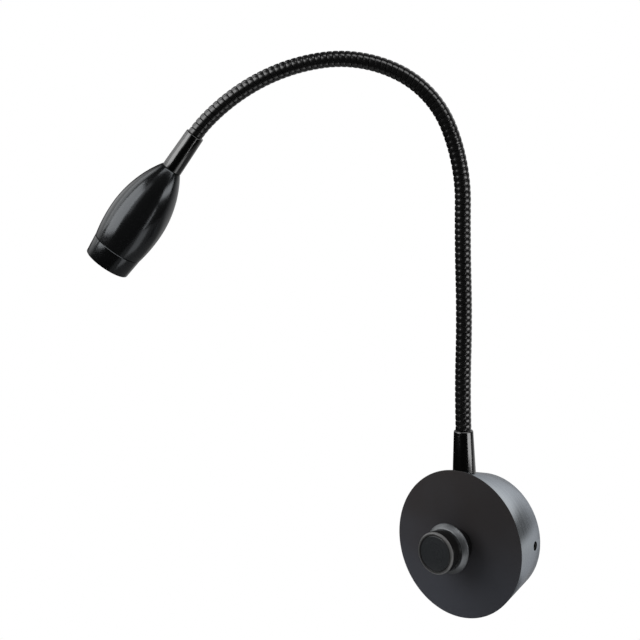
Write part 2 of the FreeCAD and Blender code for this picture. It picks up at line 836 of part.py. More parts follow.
def lens():
    outer = lens_diameter / 2
    flange = lens_flange_diameter / 2
    pocket = lens_pocket_diameter / 2
    floor = lens_low + lens_pocket_depth
    bulge = ((lens_small_diameter / 2 + outer) / 2 + 0.8, (lens_low + flange_low) / 2)
    crown = bezel_lip_bore / 2 - seal_inset
    crown_radius = (crown ** 2 + lens_crown ** 2) / (2 * lens_crown)
    half_height = lens_front + lens_crown - crown_radius + math.sqrt(crown_radius ** 2 - (crown / 2) ** 2)
    return on_head(turned(
        (0, floor), (pocket, floor), (pocket, lens_low), (lens_small_diameter / 2, lens_low),
        (bulge, (outer, flange_low)), (flange, flange_low), (flange, lens_front), (crown, lens_front),
        ((crown / 2, half_height), (0, lens_front + lens_crown)),
    ))


def lens_holder():
    return on_head(tube(lens_flange_diameter, lens_flange_diameter - 2 * holder_wall, led_low, flange_low))


def heat_sink():
    sink = rod(head_cavity_diameter - 2 * fit, sink_start, led_low)
    return on_head(sink).cut(on_ferrule(rod(sink_wire_hole, upper_ferrule_length, upper_ferrule_length + led_low)))


def led_board():
    return on_head(rod(led_board_diameter, led_low, chip_low))


def led_chip():
    top = chip_low + led_chip_height
    dome = Part.makeSphere(led_dome_diameter / 2, V(0, 0, top)).cut(rod(2 * led_dome_diameter, 0, top))
    return on_head(block(led_chip_side, led_chip_side, chip_low, top).fuse(dome))


# ---- Writing the pieces -------------------------------------------------------------------------------------------


def base_lead():
    rise = ((0, base_lead_rise, arm_out), (0, socket_low - lead_gap, arm_out))
    return on_wall(soft_run(base_lead_points + rise, lead_diameter))


pieces = {
    "wall_plate": wall_plate(),
    "cable_grommet": cable_grommet(),
    "terminal_block": terminal_block(),
    "terminal_screws": terminal_screws(),
    "earth_screw": earth_screw(),
    "driver_case": driver_case(),
    "driver_lid": driver_cover(),
    "driver_board": on_wall(block(board_width, board_height, board_low, board_high, (0, driver_centre))),
    "driver_parts": driver_parts(),
    "base_lead": base_lead(),
    "cover": cover(),
    "cover_screws": cover_screws(),
    "dimmer_body": dimmer_body(),
    "dimmer_bushing": dimmer_bushing(),
    "dimmer_washer": dimmer_washer(),
    "dimmer_nut": dimmer_nut(),
    "dimmer_shaft": dimmer_shaft(),
    "knob_body": knob_body(),
    "knob_skirt": knob_skirt(),
    "knob_cap": knob_cap(),
    "knob_screw": knob_screw(),
    "nipple": nipple(),
    "nipple_screw": nipple_screw(),
    "lower_ferrule": lower_ferrule(),
    "upper_ferrule": upper_ferrule(),
    "head_nipple": head_nipple(),
    "head_nut": head_nut(),
    "head_lead": head_lead(),
    "head_shell": head_shell(),
    "heat_sink": heat_sink(),
    "led_board": led_board(),
    "led_chip": led_chip(),
    "lens_holder": lens_holder(),
    "lens": lens(),
    "lens_seal": lens_seal(),
    "bezel": bezel(),
}
for number in range(piece_count):
    pieces[f"hose_{number + 1}"] = hose_piece(number)
    pieces[f"lead_{number + 1}"] = lead_piece(number)

os.makedirs("parts", exist_ok=True)
for name, shape in pieces.items():
    if not shape.isValid() or shape.Volume <= 0:
        raise ValueError(f"{name} is not a sound solid")
    shape.exportStep(f"parts/{name}.step")
    print(f"{name}: {len(shape.Solids)} solid(s), {shape.Volume:.1f} mm3")

for number in range(1, piece_count):
    point, direction = arm_place(number * piece_length)
    across = direction.cross(arm_side)
    print(f"bend {number} at", *(round(c, 4) for c in point), "forward axis", *(round(c, 6) for c in arm_side),
          "side axis", *(round(c, 6) for c in across))
print("head axis", *(round(c, 6) for c in head_axis), "head start", *(round(c, 3) for c in head_start))
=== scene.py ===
# %% [markdown]
# # A bedside wall reading lamp
# A tapered round base holds a dimmer knob, and a flexible ribbed arm carries a small spot head.
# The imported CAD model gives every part's place and size, so it is loaded first and never moved.
# The parts that show are then made again as smooth meshes with rounded edges, because glossy black
# surfaces give away every facet. The hidden parts keep their CAD shapes and only get their finishes.

# %% Load the CAD model
import json
import math

import bmesh
import bpy
from mathutils import Matrix, Vector


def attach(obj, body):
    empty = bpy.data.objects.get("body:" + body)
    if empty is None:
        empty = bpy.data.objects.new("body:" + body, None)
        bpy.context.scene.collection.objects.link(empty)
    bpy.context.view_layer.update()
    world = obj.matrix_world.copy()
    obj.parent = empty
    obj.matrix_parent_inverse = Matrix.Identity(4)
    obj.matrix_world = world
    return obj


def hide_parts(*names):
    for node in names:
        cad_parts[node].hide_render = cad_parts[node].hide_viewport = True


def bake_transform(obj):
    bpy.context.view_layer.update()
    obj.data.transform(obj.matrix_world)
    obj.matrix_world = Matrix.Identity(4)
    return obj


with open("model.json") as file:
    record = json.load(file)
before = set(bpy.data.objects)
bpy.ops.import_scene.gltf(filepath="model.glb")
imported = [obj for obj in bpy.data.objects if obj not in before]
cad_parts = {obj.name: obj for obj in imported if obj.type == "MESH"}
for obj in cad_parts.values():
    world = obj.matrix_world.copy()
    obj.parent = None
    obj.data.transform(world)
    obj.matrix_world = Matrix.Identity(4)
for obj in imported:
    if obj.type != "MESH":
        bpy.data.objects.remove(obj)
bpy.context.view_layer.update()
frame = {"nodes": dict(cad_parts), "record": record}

# %% [markdown]
# ## Camera
# The lamp is seen from the front right and a little above, with a long lens, so that the round base
# shows its front and a slice of its rim. Three angles turn the camera, and its right, up and back
# directions are kept, because the lamps of the studio are easiest to place as seen from the camera.

# %% Camera
azimuth, elevation, roll = (math.radians(angle) for angle in (40.52, 9.50, -1.76))
back = Vector((math.sin(azimuth) * math.cos(elevation), -math.cos(azimuth) * math.cos(elevation),
               math.sin(elevation)))
level = Vector((math.cos(azimuth), math.sin(azimuth), 0))
right = level * math.cos(roll) + back.cross(level) * math.sin(roll)
up = back.cross(right)

stand = Vector((0.60923, -0.84773, 0.29260))
focal_length, sensor_width = 112.5, 36
camera = bpy.data.objects.new("camera", bpy.data.cameras.new("camera"))
camera.data.lens, camera.data.sensor_width = focal_length, sensor_width
camera.matrix_world = Matrix((
    (right.x, up.x, back.x, stand.x),
    (right.y, up.y, back.y, stand.y),
    (right.z, up.z, back.z, stand.z),
    (0, 0, 0, 1),
))
bpy.context.scene.collection.objects.link(camera)
bpy.context.scene.camera = camera
bpy.context.scene.view_settings.view_transform = "Standard"
print("camera looks along", [round(-v, 3) for v in back])

# %% [markdown]
# ## Drawing and turning
# Nearly every visible part of this lamp was turned on a lathe. A lathe part is one line in a half
# plane, spun about an axis, so a small class draws that line and spins it. Arcs are made by spinning
# the line's last point about the arc's centre. Sizes are in millimetres until a part is put in place.

# %% A line that is turned about an axis
MM = 0.001


class Outline:
    """A line of (radius, height) points in millimetres, which turn() spins about its zero-radius axis."""

    def __init__(self, radius, height):
        self.bm = bmesh.new()
        self.first = self.last = self.bm.verts.new((radius, 0, height))

    def to(self, *points):
        for radius, height in points:
            vert = self.bm.verts.new((radius, 0, height))
            self.bm.edges.new((self.last, vert))
            self.last = vert
        return self

    def arc(self, radius, height, degrees, steps):
        """Spins the last point about (radius, height). A positive angle turns outwards into upwards."""
        made = bmesh.ops.spin(self.bm, geom=[self.last], cent=(radius, 0, height), axis=(0, -1, 0),
                              angle=math.radians(degrees), steps=steps)
        self.last = next(item for item in made["geom_last"] if isinstance(item, bmesh.types.BMVert))
        return self

    def close(self):
        self.bm.edges.new((self.last, self.first))
        return self

    def turn(self, steps=144):
        bmesh.ops.spin(self.bm, geom=self.bm.verts[:] + self.bm.edges[:], cent=(0, 0, 0), axis=(0, 0, 1),
                       angle=2 * math.pi, steps=steps, use_merge=True)
        bmesh.ops.remove_doubles(self.bm, verts=self.bm.verts, dist=0.0005)
        bmesh.ops.recalc_face_normals(self.bm, faces=self.bm.faces)
        return self.bm


def soften(bm, width, segments, *rings):
    """Rounds the ring edges that lie at the given (radius, height) corners."""
    for radius, height in rings:
        def on_ring(vert):
            return abs(vert.co.z - height) < 0.005 and abs(math.hypot(vert.co.x, vert.co.y) - radius) < 0.005
        edges = [edge for edge in bm.edges if all(on_ring(vert) for vert in edge.verts)]
        bmesh.ops.bevel(bm, geom=edges, offset=width, offset_type="OFFSET", segments=segments, profile=0.5,
                        affect="EDGES", clamp_overlap=True, material=-1)


# %% Putting a part in its place
def place(origin=(0, 0, 0), axis=(0, 0, 1)):
    """Matrix that sets a part, drawn in millimetres about Z, on an axis through a point in millimetres."""
    turn = Vector(axis).to_track_quat("Z", "Y").to_matrix().to_4x4()
    return Matrix.Scale(MM, 4) @ Matrix.Translation(Vector(origin)) @ turn


def piece(name, bm, where, sharp_above=32):
    """A smooth-shaded object from a bmesh; edges that turn by more than the given degrees stay crisp."""
    bmesh.ops.transform(bm, matrix=where, verts=bm.verts)
    mesh = bpy.data.meshes.new(name)
    bm.to_mesh(mesh)
    bm.free()
    mesh.shade_smooth()
    mesh.set_sharp_from_angle(angle=math.radians(sharp_above))
    made = bpy.data.objects.new(name, mesh)
    bpy.context.scene.collection.objects.link(made)
    print(f"{name}: {len(mesh.polygons)} faces")
    return made


def drilled(body, diameter, depth, *holes):
    """Cuts round holes, each given by its mouth and inward direction in millimetres."""
    for mouth, inward in holes:
        drill = bmesh.new()
        bmesh.ops.create_cone(drill, cap_ends=True, segments=48, radius1=diameter / 2, radius2=diameter / 2,
                              depth=2 * depth)
        cutter = piece("drill", drill, place(mouth, inward))
        cut = body.modifiers.new("drill", "BOOLEAN")
        cut.operation, cut.solver, cut.object = "DIFFERENCE", "EXACT", cutter
        bpy.context.view_layer.update()
        mesh = bpy.data.meshes.new_from_object(body.evaluated_get(bpy.context.evaluated_depsgraph_get()))
        body.modifiers.clear()
        body.data = mesh
        bpy.data.objects.remove(cutter)
        mesh.set_sharp_from_angle(angle=math.radians(32))


# %% [markdown]
# ## Shader maths
# A finish is a small sum over a few patterns: fine grain, turning marks, a mask for one face. Sums are
# easier to read as sums, so one class wraps a node's output and turns Python's operators into nodes.

# %% Shader sums as Python expressions
class Term:
    """One value in a material's maths."""

    def __init__(self, finish, socket):
        self.finish, self.socket = finish, socket

    def sum(self, operation, *terms):
        return self.finish.node("ShaderNodeMath", {"operation": operation}, dict(enumerate(terms)))

    def __add__(self, other): return self.sum("ADD", self, other)
    def __radd__(self, other): return self.sum("ADD", other, self)
    def __sub__(self, other): return self.sum("SUBTRACT", self, other)
    def __rsub__(self, other): return self.sum("SUBTRACT", other, self)
    def __mul__(self, other): return self.sum("MULTIPLY", self, other)
    def __rmul__(self, other): return self.sum("MULTIPLY", other, self)
    def __pow__(self, other): return self.sum("POWER", self, other)

    def rise(self, low, high):
        """0 below low and 1 above high, smooth between."""
        return self.finish.node("ShaderNodeMapRange", {"interpolation_type": "SMOOTHSTEP"},
                                {"Value": self, "From Min": low, "From Max": high})


class Finish:
    """One material, built from terms."""

    def __init__(self, name, tree=None):
        if tree is None:
            self.material = bpy.data.materials.new(name)
            self.material.use_nodes = True
            tree = self.material.node_tree
        self.tree = tree
        self.tree.nodes.clear()

    def node(self, kind, settings=None, inputs=None, output=0):
        made = self.tree.nodes.new(kind)
        for key, value in (settings or {}).items():
            setattr(made, key, value)
        for key, value in (inputs or {}).items():
            if isinstance(value, Term):
                self.tree.links.new(value.socket, made.inputs[key])
            else:
                made.inputs[key].default_value = value
        return Term(self, made.outputs[output]) if made.outputs else None

    def place(self):
        """Object coordinates, in metres in the lamp's frame."""
        return self.node("ShaderNodeTexCoord", output="Object")

    def axis(self, name, where=None):
        return self.node("ShaderNodeSeparateXYZ", {}, {0: where or self.place()}, output=name)

    def noise(self, scale, detail=2.0, where=None):
        """A grain from about 0.3 to 0.7, so many to the metre."""
        return self.node("ShaderNodeTexNoise", {}, {"Vector": where or self.place(), "Scale": scale,
                                                    "Detail": detail})

    def colour(self, share, first, second):
        """The first colour where share is 0 and the second where it is 1."""
        return self.node("ShaderNodeMix", {"data_type": "RGBA"}, {"Factor": share, 6: first, 7: second}, 2)

    def radius(self):
        """Distance from the knob's axis, which is also the base's."""
        where = self.place()
        across, height = self.axis("X", where), self.axis("Z", where)
        return (across * across + height * height) ** 0.5

    def bump(self, height, distance):
        return self.node("ShaderNodeBump", {}, {"Height": height, "Distance": distance, "Strength": 1.0})

    def surface(self, **sockets):
        """Ends the material in a Principled shader; a socket's name has underscores for its spaces."""
        inputs = {name.replace("_", " "): value for name, value in sockets.items()}
        shader = self.node("ShaderNodeBsdfPrincipled", {}, inputs)
        self.node("ShaderNodeOutputMaterial", {}, {"Surface": shader})
        return self.material


def grey(value, warmth=0.0):
    """A linear grey, a little warmer or cooler."""
    return (value * (1 + warmth), value, value * (1 - warmth), 1)


# %% [markdown]
# ## Finishes that show
# The head wears a satin black coat: a smooth dark film with a fine grain, which spreads reflections a
# little and cools them. The ferrules and the arm share one glossy black recipe: as black metal on the
# ferrules and as black paint on the arm. The base is one casting with two looks, a matt charcoal front
# and a satin metallic rim with turning marks, so one material uses the depth from the wall as its mask.
# Light and shade are painted into the front's charcoal: painted light makes it lighter and bluer at the foot,
# painted shade makes it darker and warmer towards the top, and a painted shadow of the knob darkens it
# towards the right.

# %% Satin black coat of the head
def satin_black(name, shade, roughness):
    finish = Finish(name)
    grain = finish.noise(2600, 3)
    cloud = finish.noise(60, 2)
    return finish.surface(
        Base_Color=finish.colour(cloud, grey(shade * 0.8, -0.04), grey(shade * 1.25, -0.04)),
        Roughness=roughness + (grain - 0.5) * 0.10 + (cloud - 0.5) * 0.04,
        Normal=finish.bump(grain, 0.000012),
        Specular_Tint=(0.90, 0.95, 1.0, 1),
    )


head_finish = satin_black("satin_black_coat", 0.0035, 0.175)
bezel_finish = satin_black("satin_black_ring", 0.0025, 0.14)


# %% Glossy black of the ferrules and the arm
def gloss_black(name, shade, roughness, metallic):
    finish = Finish(name)
    ripple = finish.noise(420, 2)
    speck = finish.noise(3800, 2)
    return finish.surface(
        Base_Color=finish.colour(speck, grey(shade * 0.7), grey(shade * 1.3)),
        Roughness=roughness + (speck - 0.5) * 0.1 + (ripple - 0.5) * 0.08,
        Normal=finish.bump(ripple, 0.000006),
        Metallic=metallic,
        IOR=1.6,
    )


ferrule_finish = gloss_black("gloss_black_ferrule", 0.085, 0.17, 1.0)
arm_finish = gloss_black("gloss_black_arm", 0.0025, 0.22, 0.0)


# %% Matt front and metallic rim of the base
def base_coat():
    finish = Finish("base_coat")
    where = finish.place()
    out = 0 - finish.axis("Y", where)
    rim_ends, front_starts = 0.02745, 0.02775
    front = out.rise(rim_ends, front_starts)
    across, height = finish.axis("X", where), finish.axis("Z", where)
    marks_deep, marks_round = 2400, 14
    stretched = finish.node("ShaderNodeCombineXYZ", {}, {"X": out * marks_deep, "Y": across * marks_round,
                                                         "Z": height * marks_round})
    turning = finish.noise(1.0, 3, stretched)
    powder = finish.noise(2200, 3)
    cloud = finish.noise(24, 2)
    # Painted light and shade: the foot is painted lighter and bluer, the top darker and warmer, and the right
    # side darker as a painted shadow of the knob.
    painted_light_foot, painted_shade_top, painted_knob_shadow = (
        (0.034, 0.036, 0.043, 1), (0.023, 0.0198, 0.0190, 1), (0.010, 0.010, 0.011, 1))
    upwards = (height * 11 + 0.5 + (cloud - 0.5)).rise(0, 1)
    charcoal = finish.colour(upwards, painted_light_foot, painted_shade_top)
    charcoal = finish.colour(across.rise(-0.03, 0.03) * 0.45, charcoal, painted_knob_shadow)
    metal = finish.colour(turning, (0.31, 0.335, 0.355, 1), (0.44, 0.465, 0.485, 1))
    return finish.surface(
        Base_Color=finish.colour(front, metal, charcoal),
        Metallic=1 - front,
        Roughness=front * (0.50 + (powder - 0.5) * 0.2) + (1 - front) * (0.24 + (turning - 0.5) * 0.2),
        Specular_IOR_Level=0.14,
        Specular_Tint=(0.62, 0.64, 0.68, 1),
        Normal=finish.bump(front * powder * 0.6 + (1 - front) * turning * 0.4, 0.00002),
    )


base_finish = base_coat()


# %% Knob finishes
def turned_metal(name, dark, light, roughness, metallic, lines=3000, edge=None):
    """A turned piece with fine rings about the knob's axis, and a painted reflection: lighter grey painted on
    its edge between two radii.
    """
    finish = Finish(name)
    radius, depth = finish.radius(), finish.axis("Y")
    grooves = finish.node("ShaderNodeCombineXYZ", {}, {"X": radius * lines, "Y": depth * lines})
    rings = finish.noise(1.0, 2, grooves)
    near_face, at_face = 0.0478, 0.0482
    # Painted reflection: the outer edge of the face, between the two radii, is painted lighter grey and a
    # little rougher.
    painted_sheen = radius.rise(*edge) * (0 - depth).rise(near_face, at_face) if edge else 0.0
    return finish.surface(
        Base_Color=finish.colour(painted_sheen, finish.colour(rings, dark, light), grey(0.075)),
        Metallic=metallic,
        Roughness=roughness + (rings - 0.5) * 0.2 + painted_sheen * 0.2,
        Normal=finish.bump(rings, 0.000008),
    )


# The knob's face edge gets a painted reflection between 9.3 and 11.4 mm from its axis.
knob_finish = turned_metal("black_knob", grey(0.003), grey(0.006), 0.2, 0.0, edge=(0.0093, 0.0114))
cap_finish = turned_metal("knob_cap_black", grey(0.013, -0.08), grey(0.019, -0.08), 0.24, 0.0, lines=1800)
skirt_finish = turned_metal("grey_skirt", grey(0.12, -0.04), grey(0.16, -0.04), 0.42, 1.0)


# %% [markdown]
# ## Finishes of the hidden parts
# Screws, plates, boards and plastic mouldings show from the back, from below or with the cover off.
# They share two recipes, one for metal with faint rolling marks and one for moulded plastic.

# %% Metal and moulded plastic
def rolled_metal(name, colour, roughness):
    finish = Finish(name)
    stretched = finish.node("ShaderNodeMapping", {}, {"Vector": finish.place(), "Scale": (1, 1, 14)})
    marks = finish.noise(260, 4, stretched)
    dull = tuple(0.82 * c for c in colour[:3]) + (1,)
    return finish.surface(Base_Color=finish.colour(marks, dull, colour), Metallic=1.0,
                          Roughness=roughness + (marks - 0.5) * 0.3, Normal=finish.bump(marks, 0.00001))


def moulded(name, colour, roughness, **sockets):
    finish = Finish(name)
    grain = finish.noise(1500, 2)
    cloud = finish.noise(90, 2)
    deep = tuple(0.85 * c for c in colour[:3]) + (1,)
    return finish.surface(Base_Color=finish.colour(cloud, deep, colour),
                          Roughness=roughness + (grain - 0.5) * 0.2,
                          Normal=finish.bump(grain, 0.000015), **sockets)


finishes = {
    "satin_black": head_finish,
    "gloss_black": ferrule_finish,
    "black_anodised": knob_finish,
    "grey_anodised": skirt_finish,
    "zinc_steel": rolled_metal("zinc_plate", (0.58, 0.60, 0.62, 1), 0.35),
    "black_steel": rolled_metal("blackened_steel", (0.05, 0.05, 0.05, 1), 0.38),
    "brass": rolled_metal("brass", (0.72, 0.55, 0.26, 1), 0.3),
    "bare_aluminium": rolled_metal("bare_aluminium", (0.78, 0.79, 0.80, 1), 0.35),
    "rubber": moulded("black_rubber", (0.02, 0.02, 0.02, 1), 0.7),
    "white_plastic": moulded("white_plastic", (0.80, 0.80, 0.77, 1), 0.42),
    "green_board": moulded("green_board", (0.04, 0.22, 0.09, 1), 0.35),
    "dark_parts": moulded("dark_parts", (0.03, 0.04, 0.07, 1), 0.35),
    "lead_sheath": moulded("lead_sheath", (0.78, 0.78, 0.75, 1), 0.5),
    "clear_optic": moulded("clear_optic", (0.92, 0.95, 0.97, 1), 0.12, Transmission_Weight=0.92, IOR=1.49),
    "led_yellow": moulded("led_yellow", (0.90, 0.72, 0.16, 1), 0.3),
}
for part in frame["record"]["subparts"]:
    materials = frame["nodes"][part["node"]].data.materials
    materials.clear()
    materials.append(finishes[part["material_slot"]])
print(len(finishes), "finishes on", len(frame["nodes"]), "CAD nodes")


def dress(made, finish, slot, body, *nodes):
    """Gives a new part its finish, its body and the CAD nodes that it stands for."""
    made.data.materials.clear()
    made.data.materials.append(finish)
    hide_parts(*nodes)
    if body:
        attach(made, body)


# %% [markdown]
# ## Base cover
# The cover is a shallow cup, wider at its front than at the wall. It is turned as one closed wall, its
# front edge is rounded a little, and the two side screws get their holes.

# %% Base cover
base_depth, front_radius, wall_radius = 28.0, 40.0, 32.75
wall_gap, cover_wall, front_wall = 0.4, 2.0, 2.5
outward = (0, -1, 0)


def cover_radius(out):
    return wall_radius + (front_radius - wall_radius) * out / base_depth


front_inside = base_depth - front_wall
cup = Outline(0, front_inside).to(
    (cover_radius(front_inside) - cover_wall, front_inside), (cover_radius(wall_gap) - cover_wall, wall_gap),
    (cover_radius(wall_gap), wall_gap), (front_radius, base_depth), (0, base_depth)).turn(192)
soften(cup, 0.45, 4, (front_radius, base_depth))
soften(cup, 0.25, 2, (cover_radius(wall_gap), wall_gap))
cover = piece("base_cover", cup, place(axis=outward))
side_screw_out, side_screw_hole = 8.0, 5.0
side_holes = [((side * cover_radius(side_screw_out), -side_screw_out, 0), (-side, 0, 0)) for side in (-1, 1)]
drilled(cover, side_screw_hole, 6, *side_holes)
dress(cover, base_finish, "satin_black", "base", "cover")

# %% [markdown]
# ## Dimmer knob
# The knob is a black barrel on a narrower hub, with a painted reflection of lighter grey on its face's outer
# edge. A grey skirt sits behind the barrel and a dark cap lies in its face. Small chamfers matter here: they
# catch the thin bright lines.
# The hub is drilled once, from below, for the screw that holds the knob on its shaft.

# %% Knob barrel and hub
knob_back, skirt_back, knob_face = (base_depth + z for z in (0.8, 9.4, 21.1))
skirt_front = skirt_back + 3.2
hollow, hub, waist, barrel_radius, face_radius, recess_radius = 6.8, 9, 10.2, 11.3, 10.6, 9.5
hollow_end, edge_start, recess_floor = base_depth + 5, knob_face - 0.7, knob_face - 1.2
barrel = Outline(0, hollow_end).to(
    (hollow, hollow_end), (hollow, knob_back), (hub, knob_back), (hub, skirt_back), (waist, skirt_back),
    (waist, skirt_front), (barrel_radius, skirt_front), (barrel_radius, edge_start),
    (face_radius, knob_face), (recess_radius, knob_face), (recess_radius, recess_floor),
    (0, recess_floor)).turn()
soften(barrel, 0.15, 2, (barrel_radius, edge_start), (face_radius, knob_face), (recess_radius, knob_face),
       (barrel_radius, skirt_front))
knob = piece("knob_barrel", barrel, place(axis=outward), 40)
screw_hole, screw_out = 3.1, 6.6
drilled(knob, screw_hole, 5, ((0, -base_depth - screw_out, -hub), (0, 0, 1)))
dress(knob, knob_finish, "black_anodised", "knob", "knob_body")

# %% Skirt and cap
band_inside, band_radius, band_front, band_edge = 10.25, 13.6, 11.4, skirt_back + 0.7
band = Outline(band_inside, skirt_back).to(
    (band_radius, skirt_back), (band_radius, band_edge), (band_front, skirt_front),
    (band_inside, skirt_front)).close().turn()
soften(band, 0.15, 2, (band_radius, skirt_back), (band_radius, band_edge), (band_front, skirt_front))
skirt = piece("knob_ring", band, place(axis=outward), 40)
dress(skirt, skirt_finish, "grey_anodised", "knob", "knob_skirt")

cap_front, cap_radius, cap_face = knob_face - 0.2, 9.45, 9.2
disc = Outline(0, cap_front - 1).to(
    (cap_radius, cap_front - 1), (cap_radius, cap_front - 0.25), (cap_face, cap_front), (0, cap_front))
disc = disc.turn(96)
soften(disc, 0.12, 2, (cap_face, cap_front))
cap = piece("knob_face_disc", disc, place(axis=outward), 40)
dress(cap, cap_finish, "black_anodised", "knob", "knob_cap")

# %% [markdown]
# ## The arm's path
# The arm rises straight from the lower ferrule, then bends over in one plane. Its centreline is eight
# equal lengths, each with its own bend. The first starts straight, just above the lower ferrule, and
# the last ends in a short stretch that bends faster than the rest of it. A length along the arm gives a
# point and a direction, so anything drawn straight can be bent onto it. The CAD arm runs straight for
# its last 8.5 mm. This line bends there instead, as the real arm seems to, so it strays from the CAD
# arm by about a millimetre and still ends at the same place.

# %% A point and a direction along the arm
arm_start = Vector((0, -22, 60.5))
arm_heading = math.radians(58)
arm_forward = Vector((-math.sin(arm_heading), -math.cos(arm_heading), 0))
arm_side = Vector((0, 0, 1)).cross(arm_forward)
arm_length, straight_start, end_bend, end_bend_length = 317.8, 8.5, 8.85, 9.0
bends = (-2.6, 3.0, -2.0, 21.7, 42.9, 33.5, 22.14, 15.71)
eighth = arm_length / len(bends)


def stretches():
    """(length, bend in radians) of each stretch from the lower ferrule to the upper one."""
    yield from ((straight_start, 0.0), (eighth - straight_start, math.radians(bends[0])))
    yield from ((eighth, math.radians(bend)) for bend in bends[1:-1])
    yield from ((eighth - end_bend_length, math.radians(bends[-1])),
                (end_bend_length, math.radians(end_bend)), (math.inf, 0.0))


def along_arm(length):
    point, angle = arm_start.copy(), 0.0
    for stretch, bend in stretches():
        step = min(length, stretch)
        turn = bend * step / stretch if bend else 0.0
        chord = 2 * step / turn * math.sin(turn / 2) if abs(turn) > 1e-9 else step
        middle = angle + turn / 2
        point = point + (arm_forward * math.sin(middle) + Vector((0, 0, math.cos(middle)))) * chord
        angle += turn
        length -= step
        if length <= 0:
            break
    return point, arm_forward * math.sin(angle) + Vector((0, 0, math.cos(angle)))


arm_end, head_axis = along_arm(arm_length)
print("arm ends at", [round(v, 1) for v in arm_end], "and points along", [round(v, 3) for v in head_axis])

# %% [markdown]
# ## Ribbed arm
# The real arm is a wound steel strip with round crests and narrow grooves. One crest is drawn as an
# arc, and spinning it while it moves along the axis winds one turn of a screw. Copies that double in
# number stack up to the whole tube, which is much quicker than winding on. The tube is cut in the
# middle of each stiff piece of the CAD arm and bent onto the path. Seven joints stand in for a real arm
# that bends evenly, so with all of them at their limits it shows waves and corners.

# %% Wind the tube
crest, shoulder, root, ribs_each, wind_steps = 4.2, 4.08, 3.7, 13, 40
pitch = eighth / ribs_each
half_crest = 0.40 * pitch
bulge = crest - shoulder
crest_radius = (half_crest ** 2 + bulge ** 2) / (2 * bulge)
half_arc = math.degrees(math.asin(half_crest / crest_radius))
tube = Outline(root, -pitch).to((shoulder, -pitch / 2 - half_crest))
tube = tube.arc(crest - crest_radius, -pitch / 2, 2 * half_arc, 6).to((root, 0)).bm
bmesh.ops.spin(tube, geom=tube.verts[:] + tube.edges[:], cent=(0, 0, 0), axis=(0, 0, 1),
               dvec=(0, 0, pitch / wind_steps), angle=2 * math.pi, steps=wind_steps)
turns = 1
while turns < ribs_each * len(bends) + 2:
    copied = bmesh.ops.duplicate(tube, geom=tube.verts[:] + tube.edges[:] + tube.faces[:])["geom"]
    bmesh.ops.translate(tube, verts=[item for item in copied if isinstance(item, bmesh.types.BMVert)],
                        vec=(0, 0, turns * pitch))
    turns *= 2
bmesh.ops.remove_doubles(tube, verts=tube.verts, dist=0.002)
bmesh.ops.recalc_face_normals(tube, faces=tube.faces)
print("wound", turns, "turns of", round(pitch, 2), "mm")


# %% Cut it and bend it
def slice_off(bm, point, outwards):
    """Takes away what lies beyond a plane."""
    bmesh.ops.bisect_plane(bm, geom=bm.verts[:] + bm.edges[:] + bm.faces[:], plane_co=point,
                           plane_no=outwards, clear_outer=True)


def close_cuts(bm):
    bmesh.ops.holes_fill(bm, edges=[edge for edge in bm.edges if edge.is_boundary])
    bmesh.ops.recalc_face_normals(bm, faces=bm.faces)


def cut_length(low, high):
    """The part of the straight tube between two heights, closed at both cuts."""
    cut = tube.copy()
    slice_off(cut, (0, 0, low), (0, 0, -1))
    slice_off(cut, (0, 0, high), (0, 0, 1))
    close_cuts(cut)
    return cut


def bend_onto_arm(bm):
    for vert in bm.verts:
        point, direction = along_arm(max(vert.co.z, 0))
        vert.co = point + arm_side * vert.co.x + direction.cross(arm_side) * vert.co.y


arm_bodies = ["base"] + [f"arm_{number}" for number in range(2, len(bends))] + ["head"]
for number, (lower, upper) in enumerate(zip(arm_bodies, arm_bodies[1:]), 1):
    low = 0.0 if number == 1 else (number - 0.5) * eighth
    high = arm_length if number == len(bends) - 1 else (number + 0.5) * eighth
    length = cut_length(low, high)
    bend_onto_arm(length)
    arm = piece(f"ribbed_arm_{number}", length, Matrix.Scale(MM, 4), 40)
    dress(arm, arm_finish, "gloss_black", None, f"hose_{number}", f"hose_{number + 1}")
    start, end = (along_arm((number + share) * eighth)[0] * MM for share in (-0.44, 0.44))
    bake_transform(arm)
tube.free()

# %% [markdown]
# ## Ferrules
# Two tapered sleeves hold the arm's ends. They are polished, with a small round shoulder at the mouth.
# The lower one's foot is inside the cover and would stand out of its front face, so a sliver of it is
# sliced off. place() gives an upright part half a turn, so the sleeve's own +y is the lamp's front.

# %% Lower and upper ferrule
bore, bore_depth = 3.65, 9.5
low_mouth, low_top, low_foot, low_bottom, front_trim = 5.1, 60.5, 6.14, 37.2, 5.85
low_sleeve = Outline(bore, low_top - bore_depth).to(
    (bore, low_top), (low_mouth, low_top), (low_foot, low_bottom), (0, low_bottom), (0, low_top - bore_depth))
low_sleeve = low_sleeve.close().turn(96)
soften(low_sleeve, 0.75, 4, (low_mouth, low_top))
slice_off(low_sleeve, (0, front_trim, 0), (0, 1, 0))
close_cuts(low_sleeve)
lower = piece("arm_sleeve_low", low_sleeve, place((0, -22, 0)))
dress(lower, ferrule_finish, "gloss_black", "base", "lower_ferrule")

sleeve_length, high_mouth, high_end, wide_bore, hose_depth = 22.0, 5.05, 5.45, 4.05, 9.9
high_sleeve = Outline(bore, hose_depth).to(
    (bore, 0), (high_mouth, 0), (high_end, sleeve_length), (wide_bore, sleeve_length),
    (wide_bore, hose_depth))
high_sleeve = high_sleeve.close().turn(96)
soften(high_sleeve, 0.35, 3, (high_mouth, 0))
soften(high_sleeve, 0.2, 2, (high_end, sleeve_length))
upper = piece("arm_sleeve_high", high_sleeve, place(arm_end, head_axis))
dress(upper, ferrule_finish, "gloss_black", "head", "upper_ferrule")

